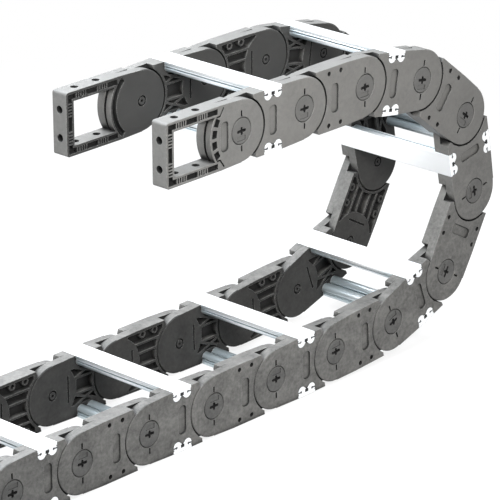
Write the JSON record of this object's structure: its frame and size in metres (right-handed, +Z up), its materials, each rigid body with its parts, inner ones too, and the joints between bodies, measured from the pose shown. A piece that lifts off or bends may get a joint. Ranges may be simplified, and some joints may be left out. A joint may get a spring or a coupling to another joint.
{
  "type": "cable drag chain",
  "caption": "Heavy cable drag chain laid in a U: side bands of offset plastic plates on hinge pins, aluminium crossbars between the bands, and bolt-on brackets at the ends.",
  "frame": {"origin": "on the floor under the middle of the whole chain", "axes": "+X along the runs towards the bend, +Y across the chain from the front band to the back band, +Z up"},
  "size_m": [1.1152, 0.212, 0.4731],
  "materials": {
    "plate_plastic": "moulded glass-filled nylon, dark grey, fine mottle",
    "bracket_plastic": "moulded glass-filled nylon, dark grey, fine mottle",
    "pin_plastic": "moulded glass-filled nylon, slightly darker grey",
    "crossbar_aluminium": "extruded aluminium, satin"
  },
  "bodies": {
    "fixed_end": {"fixed_end_bracket_front": "bracket_plastic", "fixed_end_bracket_back": "bracket_plastic"},
    "link_13": {"link_13_plate_front": "plate_plastic", "link_13_plate_back": "plate_plastic", "link_13_crossbar_outer": "crossbar_aluminium", "link_13_crossbar_inner": "crossbar_aluminium", "link_13_hinge_pins": "pin_plastic"},
    "link_12": {"link_12_plate_front": "plate_plastic", "link_12_plate_back": "plate_plastic", "link_12_hinge_pins": "pin_plastic"},
    "link_11": {"link_11_plate_front": "plate_plastic", "link_11_plate_back": "plate_plastic", "link_11_crossbar_outer": "crossbar_aluminium", "link_11_crossbar_inner": "crossbar_aluminium", "link_11_hinge_pins": "pin_plastic"},
    "link_10": {"link_10_plate_front": "plate_plastic", "link_10_plate_back": "plate_plastic", "link_10_hinge_pins": "pin_plastic"},
    "link_09": {"link_09_plate_front": "plate_plastic", "link_09_plate_back": "plate_plastic", "link_09_crossbar_outer": "crossbar_aluminium", "link_09_crossbar_inner": "crossbar_aluminium", "link_09_hinge_pins": "pin_plastic"},
    "link_08": {"link_08_plate_front": "plate_plastic", "link_08_plate_back": "plate_plastic", "link_08_hinge_pins": "pin_plastic"},
    "link_07": {"link_07_plate_front": "plate_plastic", "link_07_plate_back": "plate_plastic", "link_07_crossbar_outer": "crossbar_aluminium", "link_07_crossbar_inner": "crossbar_aluminium", "link_07_hinge_pins": "pin_plastic"},
    "link_06": {"link_06_plate_front": "plate_plastic", "link_06_plate_back": "plate_plastic", "link_06_hinge_pins": "pin_plastic"},
    "link_05": {"link_05_plate_front": "plate_plastic", "link_05_plate_back": "plate_plastic", "link_05_crossbar_outer": "crossbar_aluminium", "link_05_crossbar_inner": "crossbar_aluminium", "link_05_hinge_pins": "pin_plastic"},
    "link_04": {"link_04_plate_front": "plate_plastic", "link_04_plate_back": "plate_plastic", "link_04_hinge_pins": "pin_plastic"},
    "link_03": {"link_03_plate_front": "plate_plastic", "link_03_plate_back": "plate_plastic", "link_03_crossbar_outer": "crossbar_aluminium", "link_03_crossbar_inner": "crossbar_aluminium", "link_03_hinge_pins": "pin_plastic"},
    "link_02": {"link_02_plate_front": "plate_plastic", "link_02_plate_back": "plate_plastic", "link_02_hinge_pins": "pin_plastic"},
    "link_01": {"link_01_plate_front": "plate_plastic", "link_01_plate_back": "plate_plastic", "link_01_crossbar_outer": "crossbar_aluminium", "link_01_crossbar_inner": "crossbar_aluminium", "link_01_hinge_pins": "pin_plastic"},
    "moving_end": {"moving_end_bracket_front": "bracket_plastic", "moving_end_bracket_back": "bracket_plastic", "moving_end_hinge_pins": "pin_plastic"}
  },
  "joints": [
    {"name": "hinge_13", "type": "hinge", "parent": "fixed_end", "child": "link_13", "pos_m": [-0.41462, 0, 0.046], "axis": [0, 1, 0], "range_deg": [-40.64, 0]},
    {"name": "hinge_12", "type": "hinge", "parent": "link_13", "child": "link_12", "pos_m": [-0.28962, 0, 0.046], "axis": [0, -1, 0], "range_deg": [0, 40.64]},
    {"name": "hinge_11", "type": "hinge", "parent": "link_12", "child": "link_11", "pos_m": [-0.16462, 0, 0.046], "axis": [0, 1, 0], "range_deg": [-40.64, 0]},
    {"name": "hinge_10", "type": "hinge", "parent": "link_11", "child": "link_10", "pos_m": [-0.03962, 0, 0.046], "axis": [0, -1, 0], "range_deg": [0, 40.64]},
    {"name": "hinge_09", "type": "hinge", "parent": "link_10", "child": "link_09", "pos_m": [0.08538, 0, 0.046], "axis": [0, 1, 0], "range_deg": [-39.64, 1]},
    {"name": "hinge_08", "type": "hinge", "parent": "link_09", "child": "link_08", "pos_m": [0.21036, 0, 0.04818], "axis": [0, -1, 0], "range_deg": [-2.59, 38.04]},
    {"name": "hinge_07", "type": "hinge", "parent": "link_08", "child": "link_07", "pos_m": [0.33511, 0, 0.05602], "axis": [0, 1, 0], "range_deg": [-24.14, 16.5]},
    {"name": "hinge_06", "type": "hinge", "parent": "link_07", "child": "link_06", "pos_m": [0.4525, 0, 0.09897], "axis": [0, -1, 0], "range_deg": [-40.64, 0]},
    {"name": "hinge_05", "type": "hinge", "parent": "link_06", "child": "link_05", "pos_m": [0.51362, 0, 0.20801], "axis": [0, 1, 0], "range_deg": [0, 40.64]},
    {"name": "hinge_04", "type": "hinge", "parent": "link_05", "child": "link_04", "pos_m": [0.48899, 0, 0.33056], "axis": [0, -1, 0], "range_deg": [-40.64, 0]},
    {"name": "hinge_03", "type": "hinge", "parent": "link_04", "child": "link_03", "pos_m": [0.39049, 0, 0.40751], "axis": [0, 1, 0], "range_deg": [-11.64, 29]},
    {"name": "hinge_02", "type": "hinge", "parent": "link_03", "child": "link_02", "pos_m": [0.26703, 0, 0.42707], "axis": [0, -1, 0], "range_deg": [-9, 31.64]},
    {"name": "hinge_01", "type": "hinge", "parent": "link_02", "child": "link_01", "pos_m": [0.14203, 0, 0.42707], "axis": [0, 1, 0], "range_deg": [-40.64, 0]},
    {"name": "hinge_00", "type": "hinge", "parent": "link_01", "child": "moving_end", "pos_m": [0.01703, 0, 0.42707], "axis": [0, -1, 0], "range_deg": [0, 40.64]}
  ]
}
